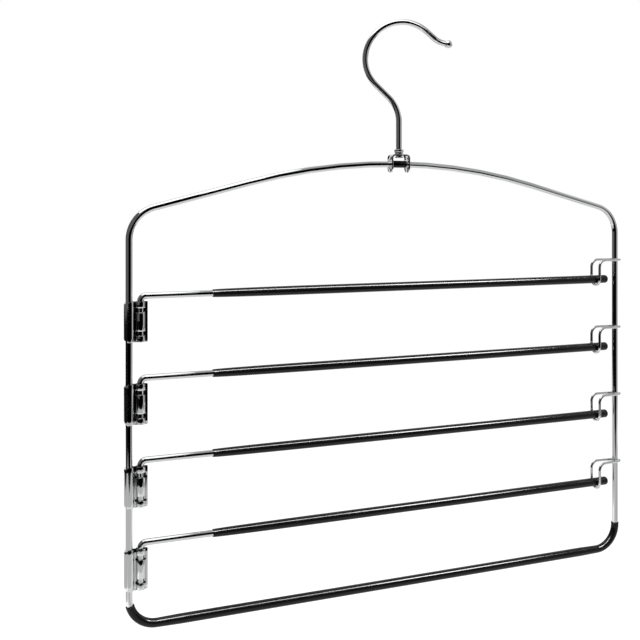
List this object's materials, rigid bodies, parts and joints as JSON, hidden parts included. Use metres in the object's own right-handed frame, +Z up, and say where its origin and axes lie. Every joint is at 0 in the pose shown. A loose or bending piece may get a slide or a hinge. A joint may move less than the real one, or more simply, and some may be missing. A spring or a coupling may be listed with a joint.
{
  "type": "multi tier trouser hanger",
  "caption": "Chromed wire trouser hanger: swivel hook on a sheet saddle, arched frame, swing-out arms in black sleeves resting in wire catches, and a sleeved bottom bar.",
  "frame": {"origin": "on the hook's swivel axis, at the height where a rail touches the inside of the hook", "axes": "+Z up; +X from the arms' pins towards their catches; the frame lies in the XZ plane and -Y is its front"},
  "size_m": [0.392, 0.0293, 0.4068],
  "materials": {
    "chrome": "polished",
    "arm_chrome": "polished",
    "black_sleeve": "satin"
  },
  "bodies": {
    "hook": {"hook": "chrome", "hook_collar": "chrome"},
    "saddle": {"saddle": "chrome"},
    "frame": {"frame_wire": "chrome", "bottom_sleeve": "black_sleeve", "saddle_sleeve": "black_sleeve", "hinge_plate_1": "chrome", "hinge_plate_2": "chrome", "hinge_plate_3": "chrome", "hinge_plate_4": "chrome", "catch_1": "chrome", "catch_2": "chrome", "catch_3": "chrome", "catch_4": "chrome"},
    "arm_1": {"arm_1": "arm_chrome", "arm_sleeve_1": "black_sleeve"},
    "arm_2": {"arm_2": "arm_chrome", "arm_sleeve_2": "black_sleeve"},
    "arm_3": {"arm_3": "arm_chrome", "arm_sleeve_3": "black_sleeve"},
    "arm_4": {"arm_4": "arm_chrome", "arm_sleeve_4": "black_sleeve"}
  },
  "joints": [
    {"name": "hook_swivel", "type": "hinge", "parent": "hook", "child": "saddle", "pos_m": [0, 0, -0.0933], "axis": [0, 0, 1], "continuous": true},
    {"name": "saddle_tilt", "type": "hinge", "parent": "saddle", "child": "frame", "pos_m": [0, 0, -0.0998], "axis": [1, 0, 0], "range_deg": [-140, 140]},
    {"name": "arm_1_swing", "type": "hinge", "parent": "frame", "child": "arm_1", "pos_m": [-0.1858, 0, -0.1874], "axis": [0, 0, 1], "range_deg": [-140, 140]},
    {"name": "arm_2_swing", "type": "hinge", "parent": "frame", "child": "arm_2", "pos_m": [-0.1858, 0, -0.2404], "axis": [0, 0, 1], "range_deg": [-140, 140]},
    {"name": "arm_3_swing", "type": "hinge", "parent": "frame", "child": "arm_3", "pos_m": [-0.1858, 0, -0.2934], "axis": [0, 0, 1], "range_deg": [-140, 140]},
    {"name": "arm_4_swing", "type": "hinge", "parent": "frame", "child": "arm_4", "pos_m": [-0.1858, 0, -0.3464], "axis": [0, 0, 1], "range_deg": [-140, 140]}
  ]
}
